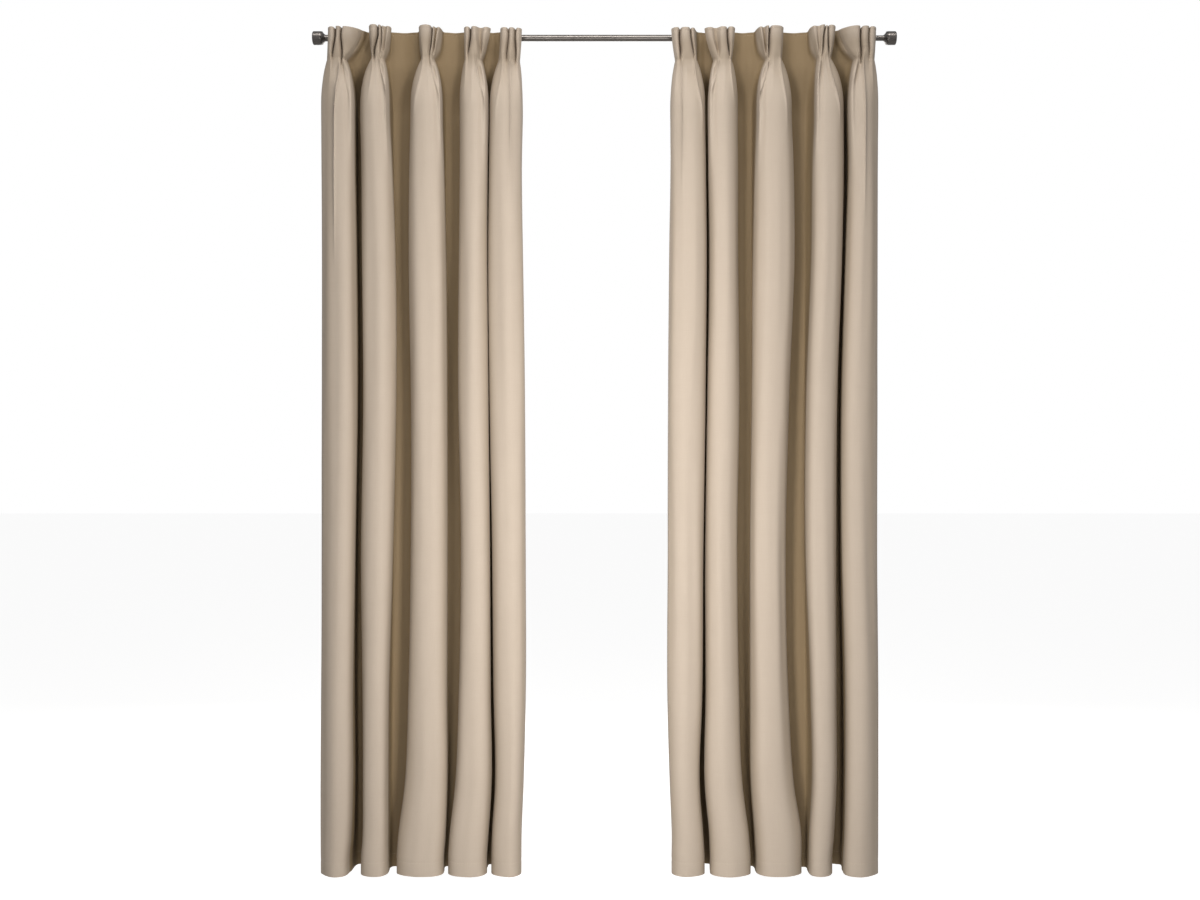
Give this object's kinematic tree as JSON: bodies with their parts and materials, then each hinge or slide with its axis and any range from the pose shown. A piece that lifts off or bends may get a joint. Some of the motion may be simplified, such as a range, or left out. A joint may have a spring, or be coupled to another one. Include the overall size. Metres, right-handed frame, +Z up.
{
  "type": "curtain pair on a rod",
  "caption": "Pair of floor-length pinch-pleated curtain panels hung by rings and pin hooks on a telescopic metal rod with barrel finials and two wall brackets.",
  "frame": {"origin": "on the bottom hem's level, under the middle of the rod, midway between the fold fronts and the wall", "axes": "+X along the rod to the right as seen from the room, +Y from the room to the wall, +Z up"},
  "size_m": [1.744, 0.17, 2.509],
  "materials": {
    "cloth": "matt beige woven cloth with a faint sheen",
    "rod_metal": "dark brushed pewter plate",
    "bracket_metal": "dark pewter plate, cast",
    "ring_metal": "pewter plated wire",
    "hook_wire": "nickel plated spring wire",
    "screw_steel": "zinc plated steel"
  },
  "bodies": {
    "brackets": {"wall_plate_left": "bracket_metal", "bracket_arm_left": "bracket_metal", "wall_plate_right": "bracket_metal", "bracket_arm_right": "bracket_metal", "wall_screw_left_upper": "screw_steel", "wall_screw_left_lower": "screw_steel", "wall_screw_right_upper": "screw_steel", "wall_screw_right_lower": "screw_steel"},
    "rod": {"rod_outer_tube": "rod_metal", "cloth_left_fold_1": "cloth", "ring_left_1": "ring_metal", "hook_left_1": "hook_wire", "cloth_left_web_1": "cloth", "cloth_right_fold_1": "cloth", "ring_right_1": "ring_metal", "hook_right_1": "hook_wire", "cloth_right_web_1": "cloth"},
    "rod_inner": {"rod_inner_tube": "rod_metal"},
    "finial_left": {"finial_left": "rod_metal"},
    "finial_right": {"finial_right": "rod_metal"},
    "lock_screw_left": {"lock_screw_left": "bracket_metal"},
    "lock_screw_right": {"lock_screw_right": "bracket_metal"},
    "left_fold_2": {"cloth_left_fold_2": "cloth", "ring_left_2": "ring_metal", "hook_left_2": "hook_wire", "cloth_left_web_2": "cloth"},
    "left_fold_3": {"cloth_left_fold_3": "cloth", "ring_left_3": "ring_metal", "hook_left_3": "hook_wire", "cloth_left_web_3": "cloth"},
    "left_fold_4": {"cloth_left_fold_4": "cloth", "ring_left_4": "ring_metal", "hook_left_4": "hook_wire", "cloth_left_web_4": "cloth"},
    "left_fold_5": {"cloth_left_fold_5": "cloth", "ring_left_5": "ring_metal", "hook_left_5": "hook_wire"},
    "right_fold_2": {"cloth_right_fold_2": "cloth", "ring_right_2": "ring_metal", "hook_right_2": "hook_wire", "cloth_right_web_2": "cloth"},
    "right_fold_3": {"cloth_right_fold_3": "cloth", "ring_right_3": "ring_metal", "hook_right_3": "hook_wire", "cloth_right_web_3": "cloth"},
    "right_fold_4": {"cloth_right_fold_4": "cloth", "ring_right_4": "ring_metal", "hook_right_4": "hook_wire", "cloth_right_web_4": "cloth"},
    "right_fold_5": {"cloth_right_fold_5": "cloth", "ring_right_5": "ring_metal", "hook_right_5": "hook_wire"}
  },
  "joints": [
    {"name": "rod_lift", "type": "slide", "parent": "brackets", "child": "rod", "axis": [0, 0, 1], "range_m": [0, 0.06]},
    {"name": "rod_extend", "type": "slide", "parent": "rod", "child": "rod_inner", "axis": [1, 0, 0], "range_m": [0, 0.25]},
    {"name": "finial_left_turn", "type": "hinge", "parent": "rod", "child": "finial_left", "pos_m": [-0.852, 0, 2.485], "axis": [-1, 0, 0], "continuous": true},
    {"name": "finial_right_turn", "type": "hinge", "parent": "rod_inner", "child": "finial_right", "pos_m": [0.852, 0, 2.485], "axis": [1, 0, 0], "continuous": true},
    {"name": "lock_screw_left_turn", "type": "hinge", "parent": "brackets", "child": "lock_screw_left", "pos_m": [-0.727, 0, 2.466], "axis": [0, 0, 1], "continuous": true},
    {"name": "lock_screw_right_turn", "type": "hinge", "parent": "brackets", "child": "lock_screw_right", "pos_m": [0.727, 0, 2.466], "axis": [0, 0, 1], "continuous": true},
    {"name": "left_panel_draw", "type": "slide", "parent": "left_fold_2", "child": "left_fold_3", "axis": [1, 0, 0], "range_m": [-0.0408, 0.08914], "deforming": ["cloth_left_web_2"]},
    {"name": "left_fold_2_slide", "type": "slide", "parent": "rod", "child": "left_fold_2", "axis": [1, 0, 0], "range_m": [-0.0188, 0.04096], "deforming": ["cloth_left_web_1"]},
    {"name": "left_fold_4_slide", "type": "slide", "parent": "left_fold_3", "child": "left_fold_4", "axis": [1, 0, 0], "range_m": [-0.02985, 0.0651], "deforming": ["cloth_left_web_3"]},
    {"name": "left_fold_5_slide", "type": "slide", "parent": "left_fold_4", "child": "left_fold_5", "axis": [1, 0, 0], "range_m": [-0.00605, 0.0131], "deforming": ["cloth_left_web_4"]},
    {"name": "right_panel_draw", "type": "slide", "parent": "right_fold_2", "child": "right_fold_3", "axis": [-1, 0, 0], "range_m": [-0.0408, 0.08914], "deforming": ["cloth_right_web_2"]},
    {"name": "right_fold_2_slide", "type": "slide", "parent": "rod", "child": "right_fold_2", "axis": [-1, 0, 0], "range_m": [-0.0188, 0.04096], "deforming": ["cloth_right_web_1"]},
    {"name": "right_fold_4_slide", "type": "slide", "parent": "right_fold_3", "child": "right_fold_4", "axis": [-1, 0, 0], "range_m": [-0.02985, 0.0651], "deforming": ["cloth_right_web_3"]},
    {"name": "right_fold_5_slide", "type": "slide", "parent": "right_fold_4", "child": "right_fold_5", "axis": [-1, 0, 0], "range_m": [-0.00605, 0.0131], "deforming": ["cloth_right_web_4"]}
  ],
  "couplings": [
    {"joint": "left_fold_2_slide", "follows": "left_panel_draw", "ratio": 0.45833},
    {"joint": "left_fold_4_slide", "follows": "left_panel_draw", "ratio": 0.72917},
    {"joint": "left_fold_5_slide", "follows": "left_panel_draw", "ratio": 0.14583},
    {"joint": "right_fold_2_slide", "follows": "right_panel_draw", "ratio": 0.45833},
    {"joint": "right_fold_4_slide", "follows": "right_panel_draw", "ratio": 0.72917},
    {"joint": "right_fold_5_slide", "follows": "right_panel_draw", "ratio": 0.14583}
  ]
}
